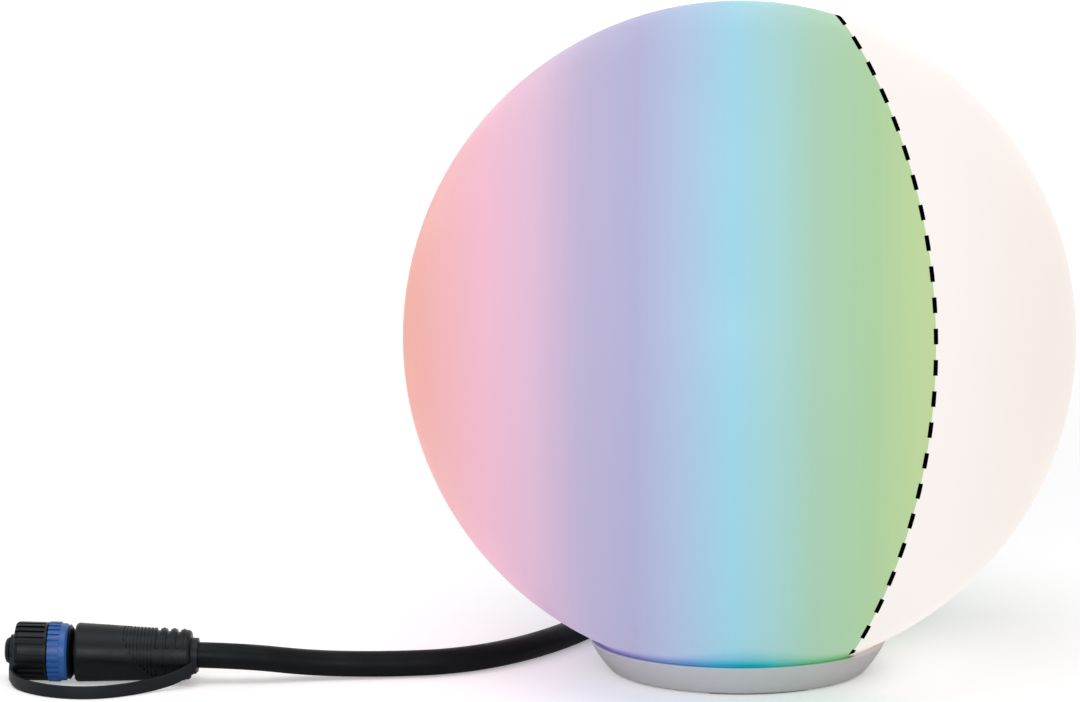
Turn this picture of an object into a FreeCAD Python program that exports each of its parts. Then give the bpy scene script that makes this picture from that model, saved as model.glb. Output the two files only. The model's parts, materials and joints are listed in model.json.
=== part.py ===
import FreeCAD, Part
import math
import os

# Garden globe light: a hollow opal globe on a shallow cast cup, with an LED module inside,
# a short supply cable and a plug whose open end is closed by a tethered screw cap.
# Millimetres. Origin on the ground, in the middle of the underside, +Z up, -Y to the viewer.

Vector = FreeCAD.Vector
UP = Vector(0, 0, 1)
ALONG = Vector(1, 0, 0)

# ---- driving sizes: globe and base --------------------------------------------------------
GLOBE_DIAMETER = 200.0
GLOBE_WALL = 2.2
MOUTH_CLEARANCE = 0.9          # round the bayonet flange, so that the globe passes over it
MOUTH_WALL = 2.4               # of the globe's neck
SEAL_THICKNESS = 0.6
SEAL_WIDTH = 1.6
PAD_THICKNESS = 0.35           # how far the pads hold the cup off the ground
PAD_SEAT_DEPTH = 0.6           # how deep the pads sit in the cup's underside
PAD_SIDE_GAP = 0.1
PAD_INSET = 0.8                # from the cup's bottom edge to a pad
PAD_WIDTH = 5.4
PAD_ARC_DEG = 48.0
PAD_MIDDLE_DEG = -79.0
RIM_LEDGE = 1.8                # how far the cup's rim stands out past the globe's mouth
CUP_TAPER = 6.4                # from the rim's radius to the foot's radius
CUP_BULGE = 0.6                # of the side's middle, past a straight taper
CUP_HEIGHT = 9.15
CUP_WALL = 2.8
CUP_FLOOR = 1.3
CUP_EDGE = 0.5                 # bevel of the outer edges
COLLAR_GAP = 3.2               # between the module's housing and the bayonet collar
COLLAR_WALL = 2.2
FLANGE_REACH = 2.8
FLANGE_THICKNESS = 2.0
LUG_HEIGHT = 2.2
LUG_ARC_DEG = 24.0
GATE_ARC_DEG = 32.0            # opening in the flange that lets a lug in
TWIST_DEG = 35.0               # from locked to the middle of the gate
STOP_ARC_DEG = 5.0
STOP_GAP_DEG = 1.0             # left between a lug and the stop at each end of its twist
LUG_SIDE_GAP = 0.6
LUG_TOP_GAP = 0.3

# ---- driving sizes: cable outlet ----------------------------------------------------------
CABLE_DIAMETER = 7.7
OUTLET_DEG = 54.0              # direction of the outlet, from +X towards +Y
OUTLET_FLOOR_GAP = 0.1
BOSS_WIDTH = 13.0
BOSS_REACH = 1.0               # how far the flat face of the boss stands out past the rim
BOOT_SLEEVE = 0.5              # rubber round the cable where it passes the wall
BOOT_FLANGE_RADIUS = 5.3
BOOT_FLANGE_LENGTH = 1.2
BOOT_TAPER_LENGTH = 19.5
BOOT_TIP_WALL = 0.7
BOOT_TIP_EDGE = 0.4
BOOT_LIP_LENGTH = 1.2
BOOT_LIP_REACH = 1.2
SLOT_CLEARANCE = 0.05

# ---- driving sizes: light module ----------------------------------------------------------
HOUSING_RADIUS = 31.0
HOUSING_WALL = 2.0
HOUSING_FLOOR = 1.8
HOUSING_HEIGHT = 20.0
BOARD_EDGE_GAP = 0.7
BOARD_THICKNESS = 1.6
BOARD_STANDOFF = 9.4           # underside of the board above the housing floor
FIXING_INSET = 5.0             # from the housing's inner wall to the circle of its screws
LOW_BOSS_RADIUS = 2.8
COLUMN_RADIUS = 2.8
COLUMN_CLEARANCE = 0.4
SPREADER_THICKNESS = 2.0
LED_BOARD_GAP = 2.2            # between the LED board and the dome's rim
LED_BOARD_THICKNESS = 1.2
LED_COUNT = 8
LED_INSET = 8.0                # from the circle of screws to the circle of LEDs
LED_SIZE = 5.0
LED_HEIGHT = 1.6
LED_WELL_DEPTH = 0.6
LED_WELL_RADIUS = 2.0
DOME_HEIGHT = 16.0
DOME_WALL = 1.6
DOME_RIM_WIDTH = 2.0
LENS_SEAL_THICKNESS = 0.8
SCREW_RADIUS = 1.2
SCREW_HEAD_RADIUS = 2.2
SCREW_HEAD_HEIGHT = 1.2
SCREW_HEAD_EDGE = 0.4
SCREW_SLOT_WIDTH = 0.6
SCREW_SLOT_DEPTH = 0.5
SCREW_CLEARANCE = 0.05
SCREW_END_ROOM = 0.5           # between a screw's tip and the bottom of its hole
LOW_SCREW_BITE = 3.9           # how far a screw reaches into a low boss
LED_SCREW_BITE = 8.0
COMPONENT_INSET = 10.0         # from the circle of screws to the middle of a board component
INDUCTOR_RADIUS = 5.0
INDUCTOR_HEIGHT = 5.4
CAPACITOR_RADIUS = 3.0
CAPACITOR_HEIGHT = 6.0
RADIO_SIZE = (15.0, 11.0, 2.6)
TERMINAL_DEPTH = 8.0
TERMINAL_WIDTH = 12.0
CORE_DIAMETER = 2.2
CORE_SPACING = 3.4
CORE_CLEARANCE = 0.05
TAIL_REACH = 9.5               # how far the sheath reaches past the housing's inner wall
CORE_REACH = 6.5               # bare length of the cores up to the terminal block
CORE_BITE = 3.0
CLAMP_LENGTH = 4.0
CLAMP_WALL = 1.3
CLAMP_EAR = 4.6
CLAMP_EAR_THICKNESS = 1.4
LED_LEAD_DIAMETER = 1.4
LED_LEAD_SPACING = 3.0

# ---- driving sizes: plug ------------------------------------------------------------------
PLUG_PLACE_X = -161.9          # rear face of the plug, where the cable goes in
PLUG_PLACE_Y = -24.9
PLUG_HEADING_DEG = 178.7       # from the rear face to the cap
BODY_LENGTH = 34.4
NECK_GAP = 0.3                 # bare nose between the body and the backing collar
BODY_REAR_RADIUS = 7.35
BODY_FRONT_RADIUS = 8.8
BODY_EDGE = 1.0
REAR_LIFT = 1.0                # the cable holds the plug's rear edge this far off the ground
RELIEF_RINGS = 3               # raised rings of the strain relief
RELIEF_START = 2.2             # middle of the first ring
RELIEF_PITCH = 3.0
RELIEF_RING_WIDTH = 0.5
RELIEF_RING_HEIGHT = 0.25
RELIEF_SLOT = 1.3              # width of the slots between the rings
RELIEF_SLOT_DEPTH = 0.7
RELIEF_BRIDGE = 6.0            # plain web on the two sides that the slots leave out
GRIP_START = 11.0
GRIP_GROOVES = 11
GRIP_PITCH = 1.06
GRIP_GROOVE = 0.5
GRIP_GROOVE_DEPTH = 0.35
GRIP_SLANT = (13.6, 7.4, 24.0) # slanted end of the grooves: middle, swing, and its angle from the top
NOSE_RADIUS = 5.7
NOSE_LENGTH = 13.0
NOSE_BORE = 4.8
SOCKET_DEPTH = 7.0             # free space round the contact pins
PIN_RADIUS = 0.8
PIN_CIRCLE = 2.2
PIN_COUNT = 3
PIN_RECESS = 1.0               # pin tips behind the end of the nose
PIN_BITE = 8.0                 # how far a pin reaches back into the carrier
CARRIER_REACH = 12.0           # how far the carrier reaches back from the front of the body
CORE_ENTRY = 4.0               # where the cores start, from the rear face
KEY_WIDTH = 1.4
KEY_HEIGHT = 1.2
COLLAR_LENGTH = 1.6
COLLAR_OUTER = 8.2
RING_LENGTH = 5.8
RING_RADIUS = 8.9              # over the ribs
RING_SMOOTH_RADIUS = 8.5
RING_EDGE = 0.7
RING_WEB = 1.1
RING_BORE = 7.5
RING_RIBS = 28
RING_RIB_LENGTH = 3.2
RIB_HEIGHT = 0.5
CAP_LENGTH = 10.1
CAP_RADIUS = 8.7
CAP_RIBS = 24
CAP_ROUNDING = 1.4             # of the corner at the cap's closed end
CAP_SKIRT_LENGTH = 3.8
CAP_END_WALL = 2.4
LINER_THICKNESS = 0.9
STEM_RADIUS = 2.2
STEM_LENGTH = 1.4
KNOB_RADIUS = 4.0
KNOB_LENGTH = 1.6
RUNNING_GAP = 0.1              # round whatever turns
SIDE_GAP = 0.15                # ahead of and behind whatever turns
NOSE_SEAL_LENGTH = 1.2
NOSE_SEAL_DEPTH = 0.8
NOSE_SEAL_PROUD = 0.05
NOSE_SEAL_INSET = 2.6          # from the end of the nose to the seal's groove
NOSE_SEAL_SIDE_GAP = 0.1
TETHER_THICKNESS = 1.1
TETHER_HEIGHT = 3.8
EYELET_RADIUS = 4.8
TETHER_COLLAR_WALL = 1.1
TETHER_COLLAR_LENGTH = 2.0
TETHER_COLLAR_CLEARANCE = 0.15
TAB_REACH = 5.9                # from the plug's axis to the strap's end
TAB_DROP = 7.7                 # lower edge of the strap's end below the axis, at the eyelet
TAB_COLLAR_DROP = 4.5          # the same at the collar
TETHER_END_GAP = 0.1

# ---- derived heights and radii ------------------------------------------------------------
HOUSING_BORE_RADIUS = HOUSING_RADIUS - HOUSING_WALL
BOARD_RADIUS = HOUSING_BORE_RADIUS - BOARD_EDGE_GAP
FIXING_CIRCLE = HOUSING_BORE_RADIUS - FIXING_INSET
LED_CIRCLE = FIXING_CIRCLE - LED_INSET
COMPONENT_CIRCLE = FIXING_CIRCLE - COMPONENT_INSET
LED_BOARD_RADIUS = HOUSING_RADIUS - DOME_RIM_WIDTH - LED_BOARD_GAP
TAIL_END_RADIUS = HOUSING_BORE_RADIUS - TAIL_REACH
TERMINAL_FACE_RADIUS = TAIL_END_RADIUS - CORE_REACH
COLLAR_INNER_RADIUS = HOUSING_RADIUS + COLLAR_GAP
COLLAR_RADIUS = COLLAR_INNER_RADIUS + COLLAR_WALL
FLANGE_RADIUS = COLLAR_RADIUS + FLANGE_REACH
MOUTH_BORE_RADIUS = FLANGE_RADIUS + MOUTH_CLEARANCE
MOUTH_RADIUS = MOUTH_BORE_RADIUS + MOUTH_WALL
CUP_RIM_RADIUS = MOUTH_RADIUS + RIM_LEDGE
CUP_FOOT_RADIUS = CUP_RIM_RADIUS - CUP_TAPER
BOSS_FACE_RADIUS = CUP_RIM_RADIUS + BOSS_REACH
CABLE_RADIUS = CABLE_DIAMETER / 2
CUP_BOTTOM_Z = PAD_THICKNESS
FLOOR_Z = CUP_BOTTOM_Z + CUP_FLOOR
RIM_Z = CUP_BOTTOM_Z + CUP_HEIGHT
MOUTH_Z = RIM_Z + SEAL_THICKNESS
GLOBE_RADIUS = GLOBE_DIAMETER / 2
GLOBE_INNER_RADIUS = GLOBE_RADIUS - GLOBE_WALL
GLOBE_CENTRE_Z = MOUTH_Z + math.sqrt(GLOBE_RADIUS ** 2 - MOUTH_RADIUS ** 2)
LUG_INNER_RADIUS = COLLAR_RADIUS + LUG_SIDE_GAP
FLANGE_Z = MOUTH_Z + LUG_HEIGHT + LUG_TOP_GAP
FLANGE_TOP_Z = FLANGE_Z + FLANGE_THICKNESS
OUTLET_Z = FLOOR_Z + OUTLET_FLOOR_GAP + CABLE_RADIUS
SLEEVE_RADIUS = CABLE_RADIUS + BOOT_SLEEVE
BOOT_TIP_RADIUS = BOSS_FACE_RADIUS + BOOT_FLANGE_LENGTH + BOOT_TAPER_LENGTH
HOUSING_FLOOR_Z = FLOOR_Z + HOUSING_FLOOR
HOUSING_TOP_Z = FLOOR_Z + HOUSING_HEIGHT
BOARD_Z = HOUSING_FLOOR_Z + BOARD_STANDOFF
BOARD_TOP_Z = BOARD_Z + BOARD_THICKNESS
SPREADER_TOP_Z = HOUSING_TOP_Z + SPREADER_THICKNESS
LED_BOARD_TOP_Z = SPREADER_TOP_Z + LED_BOARD_THICKNESS
GATE_MIDDLES = [OUTLET_DEG + 120.0 * i for i in range(3)]
LOW_BOSS_DEGREES = [OUTLET_DEG + 60.0 + 120.0 * i for i in range(3)]
COLUMN_DEGREES = [OUTLET_DEG + 90.0 + 120.0 * i for i in range(3)]

COLLAR_START = BODY_LENGTH + NECK_GAP
COLLAR_END = COLLAR_START + COLLAR_LENGTH
RING_START = COLLAR_END + SIDE_GAP
RING_END = RING_START + RING_LENGTH
CAP_START = RING_END + SIDE_GAP
CAP_END = CAP_START + CAP_LENGTH
NOSE_END = BODY_LENGTH + NOSE_LENGTH
SOCKET_START = NOSE_END - SOCKET_DEPTH
CAP_BORE_END = CAP_END - CAP_END_WALL
STEM_END = CAP_END + STEM_LENGTH
REST_REAR = BODY_EDGE           # the plug lies on the ring's ribs, and the cable carries its rear
REST_RING = RING_END - RING_RIB_LENGTH
REST_REAR_RADIUS = BODY_REAR_RADIUS + (BODY_FRONT_RADIUS - BODY_REAR_RADIUS) * REST_REAR / BODY_LENGTH
PLUG_TILT = math.atan((RING_RADIUS - REAR_LIFT - REST_REAR_RADIUS) / (REST_RING - REST_REAR))
PLUG_PLACE_Z = RING_RADIUS * math.cos(PLUG_TILT) - REST_RING * math.sin(PLUG_TILT)

# ---- route of the free cable, from the outlet to the plug, chosen by hand -----------------
CABLE_ROUTE = [
    (38.8, 53.4, 5.6),
    (47.9, 65.9, 5.6),
    (51.7, 80.9, 4.8),
    (49.6, 96.3, 4.05),
    (41.9, 109.8, 3.95),
    (29.8, 119.4, 3.95),
    (14.9, 123.8, 3.95),
    (-0.5, 122.3, 3.95),
    (-14.3, 115.2, 3.95),
    (-24.4, 103.5, 3.95),
    (-32.0, 81.0, 3.95),
    (-40.5, 55.0, 3.95),
    (-51.0, 28.5, 3.95),
    (-66.0, 4.5, 3.95),
    (-84.0, -11.5, 3.95),
    (-106.0, -16.2, 3.95),
    (-127.0, -19.0, 4.8),
    (-145.9, -25.3, 8.17),
    (-161.9, -24.9, 8.38),
]

# ---- middle line of the tether strap between its ends: x, y and height of its lower edge --
STRAP_ROUTE = [
    (-213.9, -34.6, 0.3),
    (-210.2, -40.2, 0.1),
    (-204.6, -45.4, 0.1),
    (-197.9, -48.6, 0.1),
    (-190.4, -49.3, 0.1),
    (-183.4, -47.0, 0.1),
    (-176.6, -42.0, 0.1),
    (-170.6, -37.2, 0.5),
    (-164.8, -34.4, 2.0),
]


# ---- helpers ------------------------------------------------------------------------------
def revolve(points, axis=UP):
    """Full turn of a closed outline of (radius, height) pairs about an axis."""
    if axis == UP:
        corners = [Vector(r, 0, h) for r, h in points]
    else:
        corners = [Vector(h, 0, r) for r, h in points]
    wire = Part.makePolygon(corners + corners[:1])
    return Part.Face(wire).revolve(Vector(0, 0, 0), axis, 360)


def tube_z(outer, inner, low, high):
    body = Part.makeCylinder(outer, high - low, Vector(0, 0, low))
    return body.cut(Part.makeCylinder(inner, high - low, Vector(0, 0, low)))


def tube_x(outer, inner, start, end):
    body = Part.makeCylinder(outer, end - start, Vector(start, 0, 0), ALONG)
    return body.cut(Part.makeCylinder(inner, end - start, Vector(start, 0, 0), ALONG))


def turned(shape, degrees, centre=Vector(0, 0, 0), axis=UP):
    copy = shape.copy()
    copy.rotate(centre, axis, degrees)
    return copy


def polar(radius, degrees, z=0.0):
    angle = math.radians(degrees)
    return Vector(radius * math.cos(angle), radius * math.sin(angle), z)


def arc_segment(outer, inner, low, high, middle_deg, span_deg):
    """Part of a ring that spans an angle about the Z axis."""
    points = [Vector(inner, 0, low), Vector(outer, 0, low), Vector(outer, 0, high), Vector(inner, 0, high)]
    face = Part.Face(Part.makePolygon(points + points[:1]))
    return turned(face.revolve(Vector(0, 0, 0), UP, span_deg), middle_deg - span_deg / 2)


def outlet_rod(radius, start, end, side=0.0):
    """Rod along the outlet's direction, from one distance from the axis to another."""
    rod = Part.makeCylinder(radius, end - start, Vector(start, side, OUTLET_Z), ALONG)
    return turned(rod, OUTLET_DEG)


def outlet_block(start, end, width, low, high):
    block = Part.makeBox(end - start, width, high - low, Vector(start, -width / 2, low))
    return turned(block, OUTLET_DEG)


def screw(place, head_z, tip_z):
    """Pan-head screw, with its head resting at head_z; its tip may lie above or below."""
    way = 1 if tip_z > head_z else -1
    head_low = head_z if way < 0 else head_z - SCREW_HEAD_HEIGHT
    shank_low = min(head_z, tip_z)
    head = Part.makeCylinder(SCREW_HEAD_RADIUS, SCREW_HEAD_HEIGHT, place + Vector(0, 0, head_low))
    head_end = head_low + (SCREW_HEAD_HEIGHT if way < 0 else 0)
    head = head.makeFillet(SCREW_HEAD_EDGE, [edge_at(head, head_end)])
    shank = Part.makeCylinder(SCREW_RADIUS, abs(tip_z - head_z), place + Vector(0, 0, shank_low))
    drive = Part.makeBox(2 * SCREW_HEAD_RADIUS, SCREW_SLOT_WIDTH, SCREW_SLOT_DEPTH)
    drive_z = head_end - SCREW_SLOT_DEPTH if way < 0 else head_end
    drive.translate(place + Vector(-SCREW_HEAD_RADIUS, -SCREW_SLOT_WIDTH / 2, drive_z))
    return head.fuse(shank).cut(drive).removeSplitter()


def edge_at(solid, z):
    """The round edge of a cylinder that lies at a height."""
    return [e for e in solid.Edges if abs(e.CenterOfMass.z - z) < 1e-6 and len(e.Vertexes) == 1][0]


def hole_at(place, low, high, radius):
    return Part.makeCylinder(radius, high - low, Vector(place.x, place.y, low))


def cut_all(body, tools):
    for tool in tools:
        body = body.cut(tool)
    return body


def fuse_all(first, others):
    return first.multiFuse(others).removeSplitter()


def group(solids):
    return Part.makeCompound(solids)


def in_plug(shape):
    """Moves a shape from the plug's own axis, +X from its rear face, to its place."""
    tilt = FreeCAD.Rotation(Vector(0, 1, 0), -math.degrees(PLUG_TILT))
    heading = FreeCAD.Rotation(UP, PLUG_HEADING_DEG)
    copy = shape.copy()
    place = Vector(PLUG_PLACE_X, PLUG_PLACE_Y, PLUG_PLACE_Z)
    copy.Placement = FreeCAD.Placement(place, heading.multiply(tilt)).multiply(copy.Placement)
    return copy


# ---- globe --------------------------------------------------------------------------------
def globe_shell():
    centre = Vector(0, 0, GLOBE_CENTRE_Z)
    outer = Part.makeSphere(GLOBE_RADIUS, centre)
    inner = Part.makeSphere(GLOBE_INNER_RADIUS, centre)
    lowest = GLOBE_CENTRE_Z - GLOBE_RADIUS - 1
    below = Part.makeBox(GLOBE_DIAMETER, GLOBE_DIAMETER, MOUTH_Z - lowest)
    below.translate(Vector(-GLOBE_RADIUS, -GLOBE_RADIUS, lowest))
    shell = outer.cut(inner).cut(below)
    neck = hole_at(Vector(0, 0, 0), lowest, GLOBE_CENTRE_Z, MOUTH_BORE_RADIUS)
    shell = shell.cut(neck)
    inside_wall = math.sqrt(GLOBE_INNER_RADIUS ** 2 - (GLOBE_CENTRE_Z - MOUTH_Z - LUG_HEIGHT) ** 2)
    lugs = []
    for gate in GATE_MIDDLES:
        lug = arc_segment(inside_wall + GLOBE_WALL / 2, LUG_INNER_RADIUS, MOUTH_Z, MOUTH_Z + LUG_HEIGHT,
                          gate - TWIST_DEG, LUG_ARC_DEG)
        lugs.append(lug.common(outer))
    return fuse_all(shell, lugs)


def globe_seal():
    outer = MOUTH_RADIUS - 0.4
    return tube_z(outer, outer - SEAL_WIDTH, RIM_Z, MOUTH_Z)


# ---- base ---------------------------------------------------------------------------------
def cup_wall_radius(z):
    """Outer radius of the cup's sloping, slightly bulged side at a height."""
    share = (z - CUP_BOTTOM_Z) / CUP_HEIGHT
    return CUP_FOOT_RADIUS + CUP_TAPER * share + 4 * CUP_BULGE * share * (1 - share)


def cup_outline():
    """Closed outline of the cup, its side one arc."""
    side = cup_wall_radius
    heights = [CUP_BOTTOM_Z + CUP_EDGE, CUP_BOTTOM_Z + CUP_HEIGHT / 2, RIM_Z - CUP_EDGE]
    low, middle, high = [Vector(side(z), 0, z) for z in heights]
    corners = [
        high,
        Vector(CUP_RIM_RADIUS - CUP_EDGE, 0, RIM_Z),
        Vector(side(RIM_Z) - CUP_WALL - 0.8, 0, RIM_Z),
        Vector(side(FLOOR_Z) - CUP_WALL, 0, FLOOR_Z),
        Vector(0, 0, FLOOR_Z),
        Vector(0, 0, CUP_BOTTOM_Z),
        Vector(CUP_FOOT_RADIUS - CUP_EDGE, 0, CUP_BOTTOM_Z),
        low,
    ]
    return Part.Wire([Part.Arc(low, middle, high).toShape()] + Part.makePolygon(corners).Edges)


def base_cup():
    cup = Part.Face(cup_outline()).revolve(Vector(0, 0, 0), UP, 360)
    collar = tube_z(COLLAR_RADIUS, COLLAR_INNER_RADIUS, FLOOR_Z - 0.5, FLANGE_TOP_Z)
    flange_arc = 120.0 - GATE_ARC_DEG
    flanges = []
    stops = []
    for gate in GATE_MIDDLES:
        flanges.append(arc_segment(FLANGE_RADIUS, COLLAR_RADIUS - 0.5, FLANGE_Z,
                                   FLANGE_TOP_Z, gate + 60.0, flange_arc))
        reach = LUG_ARC_DEG / 2 + STOP_GAP_DEG + STOP_ARC_DEG / 2
        for stop_deg in (gate - TWIST_DEG - reach, gate + reach):
            stops.append(arc_segment(FLANGE_RADIUS, COLLAR_RADIUS - 0.5,
                                     MOUTH_Z + LUG_TOP_GAP, FLANGE_Z + 0.5, stop_deg, STOP_ARC_DEG))
    boss = outlet_block(CUP_FOOT_RADIUS - 2.0, BOSS_FACE_RADIUS, BOSS_WIDTH, CUP_BOTTOM_Z, RIM_Z)
    body = fuse_all(cup, [collar, boss] + flanges + stops)
    slot_radius = SLEEVE_RADIUS + SLOT_CLEARANCE
    slot_start = COLLAR_INNER_RADIUS - 2 * BOOT_LIP_LENGTH
    slot = outlet_rod(slot_radius, slot_start, BOSS_FACE_RADIUS + 1)
    slot_top = outlet_block(slot_start, BOSS_FACE_RADIUS + 1, 2 * slot_radius, OUTLET_Z, FLANGE_TOP_Z + 1)
    screws = []
    for degrees in LOW_BOSS_DEGREES:
        place = polar(FIXING_CIRCLE, degrees)
        screws.append(hole_at(place, 0, FLOOR_Z + 1, SCREW_RADIUS + SCREW_CLEARANCE))
    body = cut_all(body, [slot, slot_top] + screws)
    seats = []
    for degrees in LOW_BOSS_DEGREES:
        place = polar(FIXING_CIRCLE, degrees)
        seats.append(hole_at(place, 0, CUP_BOTTOM_Z + SCREW_HEAD_HEIGHT, SCREW_HEAD_RADIUS + 0.3))
    return cut_all(body, seats + pad_arcs(PAD_SIDE_GAP))


def pad_arcs(gap):
    """The three pads, or with a gap the seats that hold them."""
    outer = CUP_FOOT_RADIUS - CUP_EDGE - PAD_INSET + gap
    inner = outer - PAD_WIDTH - 2 * gap
    span = PAD_ARC_DEG + math.degrees(2 * gap / inner)
    pads = []
    for i in range(3):
        pads.append(arc_segment(outer, inner, 0, CUP_BOTTOM_Z + PAD_SEAT_DEPTH,
                                PAD_MIDDLE_DEG + 120.0 * i, span))
    return pads


def foot_pads():
    return group(pad_arcs(0.0))


# ---- cable outlet -------------------------------------------------------------------------
def cable_boot():
    start = COLLAR_INNER_RADIUS
    face = BOSS_FACE_RADIUS
    inner_end = start - BOOT_LIP_LENGTH
    sleeve = outlet_rod(SLEEVE_RADIUS, inner_end, face)
    saddle = outlet_block(inner_end, face, 2 * SLEEVE_RADIUS, OUTLET_Z, RIM_Z)
    lip_width = 2 * (SLEEVE_RADIUS + BOOT_LIP_REACH)
    lip_face = math.sqrt(start ** 2 - (lip_width / 2) ** 2) - SLOT_CLEARANCE
    lip = outlet_block(inner_end, lip_face, lip_width, FLOOR_Z, RIM_Z)
    lid = outlet_block(inner_end - 1, face + 1, 4 * SLEEVE_RADIUS, RIM_Z, RIM_Z + CABLE_DIAMETER)
    tip = CABLE_RADIUS + BOOT_TIP_WALL
    flange_end = face + BOOT_FLANGE_LENGTH
    outside = revolve([
        (0, face), (BOOT_FLANGE_RADIUS, face), (BOOT_FLANGE_RADIUS, flange_end),
        (BOOT_FLANGE_RADIUS - BOOT_TIP_EDGE, flange_end), (tip, BOOT_TIP_RADIUS - BOOT_TIP_EDGE),
        (tip - BOOT_TIP_EDGE, BOOT_TIP_RADIUS), (0, BOOT_TIP_RADIUS),
    ], ALONG)
    outside.translate(Vector(0, 0, OUTLET_Z))
    outside = turned(outside, OUTLET_DEG)
    bore = outlet_rod(CABLE_RADIUS, inner_end - 1, BOOT_TIP_RADIUS + 1)
    body = sleeve.fuse([saddle, lip]).cut(lid).fuse(outside).removeSplitter()
    return body.cut(bore)


def cable_tail():
    tail = outlet_rod(CABLE_RADIUS, TAIL_END_RADIUS, BOOT_TIP_RADIUS)
    return tail


def core_sides():
    return [-CORE_SPACING / 2, CORE_SPACING / 2]


def core_leads():
    cores = []
    for side in core_sides():
        cores.append(outlet_rod(CORE_DIAMETER / 2, TERMINAL_FACE_RADIUS - CORE_BITE, TAIL_END_RADIUS, side))
    return group(cores)


def clamp_span():
    middle = (TAIL_END_RADIUS + HOUSING_BORE_RADIUS) / 2
    return middle - CLAMP_LENGTH / 2, middle + CLAMP_LENGTH / 2


def clamp_screw_places():
    start, end = clamp_span()
    along = (start + end) / 2
    side = CABLE_RADIUS + CLAMP_WALL + CLAMP_EAR / 2
    return [turned(Part.Vertex(along, s, 0), OUTLET_DEG).Point for s in (-side, side)]


def cord_clamp():
    start, end = clamp_span()
    half = CABLE_RADIUS + CLAMP_WALL
    arch = outlet_rod(half, start, end)
    walls = outlet_block(start, end, 2 * half, HOUSING_FLOOR_Z, OUTLET_Z)
    ears = outlet_block(start, end, 2 * (half + CLAMP_EAR), HOUSING_FLOOR_Z,
                        HOUSING_FLOOR_Z + CLAMP_EAR_THICKNESS)
    below = outlet_block(start - 1, end + 1, 4 * half, HOUSING_FLOOR_Z - 2 * half, HOUSING_FLOOR_Z)
    body = fuse_all(arch, [walls, ears]).cut(below)
    tunnel = outlet_rod(CABLE_RADIUS, start - 1, end + 1)
    tunnel_low = outlet_block(start - 1, end + 1, 2 * CABLE_RADIUS, HOUSING_FLOOR_Z - 1, OUTLET_Z)
    body = body.cut(tunnel).cut(tunnel_low)
    holes = []
    for place in clamp_screw_places():
        holes.append(hole_at(place, HOUSING_FLOOR_Z - 1, OUTLET_Z, SCREW_RADIUS + SCREW_CLEARANCE))
    return cut_all(body, holes)


def clamp_screws():
    solids = []
    for place in clamp_screw_places():
        solids.append(screw(place, HOUSING_FLOOR_Z + CLAMP_EAR_THICKNESS, FLOOR_Z + SCREW_END_ROOM))
    return group(solids)


# ---- light module -------------------------------------------------------------------------
def module_housing():
    outer = Part.makeCylinder(HOUSING_RADIUS, HOUSING_HEIGHT, Vector(0, 0, FLOOR_Z))
    hollow = Part.makeCylinder(HOUSING_BORE_RADIUS, HOUSING_HEIGHT, Vector(0, 0, HOUSING_FLOOR_Z))
    body = outer.cut(hollow)
    posts = []
    for degrees in LOW_BOSS_DEGREES:
        place = polar(FIXING_CIRCLE, degrees, HOUSING_FLOOR_Z - 0.5)
        posts.append(Part.makeCylinder(LOW_BOSS_RADIUS, BOARD_STANDOFF + 0.5, place))
    for degrees in COLUMN_DEGREES:
        place = polar(FIXING_CIRCLE, degrees, HOUSING_FLOOR_Z - 0.5)
        posts.append(Part.makeCylinder(COLUMN_RADIUS, HOUSING_TOP_Z - HOUSING_FLOOR_Z + 0.5, place))
    body = fuse_all(body, posts)
    hole = SCREW_RADIUS + SCREW_CLEARANCE
    tools = [outlet_rod(CABLE_RADIUS + 0.05, TAIL_END_RADIUS - 1, HOUSING_RADIUS + 1)]
    for degrees in LOW_BOSS_DEGREES:
        place = polar(FIXING_CIRCLE, degrees)
        tools.append(hole_at(place, 0, HOUSING_FLOOR_Z + LOW_SCREW_BITE + SCREW_END_ROOM, hole))
        tools.append(hole_at(place, BOARD_Z - LOW_SCREW_BITE - SCREW_END_ROOM, HOUSING_TOP_Z, hole))
    led_hole_z = HOUSING_TOP_Z - LED_SCREW_BITE - SCREW_END_ROOM
    for degrees in COLUMN_DEGREES:
        tools.append(hole_at(polar(FIXING_CIRCLE, degrees), led_hole_z, HOUSING_TOP_Z + 1, hole))
    for place in clamp_screw_places():
        tools.append(hole_at(place, FLOOR_Z + SCREW_END_ROOM / 2, HOUSING_FLOOR_Z + 1, hole))
    return cut_all(body, tools)


def housing_screws():
    tip = HOUSING_FLOOR_Z + LOW_SCREW_BITE
    head = CUP_BOTTOM_Z + SCREW_HEAD_HEIGHT
    return group([screw(polar(FIXING_CIRCLE, d), head, tip) for d in LOW_BOSS_DEGREES])


def board_screws():
    tip = BOARD_Z - LOW_SCREW_BITE
    return group([screw(polar(FIXING_CIRCLE, d), BOARD_TOP_Z, tip) for d in LOW_BOSS_DEGREES])


def led_board_screws():
    tip = HOUSING_TOP_Z - LED_SCREW_BITE
    return group([screw(polar(FIXING_CIRCLE, d), LED_BOARD_TOP_Z, tip) for d in COLUMN_DEGREES])


def lead_places():
    return [Vector(0, s, 0) for s in (-LED_LEAD_SPACING / 2, LED_LEAD_SPACING / 2)]


def controller_board():
    board = Part.makeCylinder(BOARD_RADIUS, BOARD_THICKNESS, Vector(0, 0, BOARD_Z))
    tools = []
    for degrees in LOW_BOSS_DEGREES:
        tools.append(hole_at(polar(FIXING_CIRCLE, degrees), 0, HOUSING_TOP_Z, SCREW_RADIUS + SCREW_CLEARANCE))
    for degrees in COLUMN_DEGREES:
        tools.append(hole_at(polar(FIXING_CIRCLE, degrees), 0, HOUSING_TOP_Z, COLUMN_RADIUS + COLUMN_CLEARANCE))
    return cut_all(board, tools)


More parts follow.
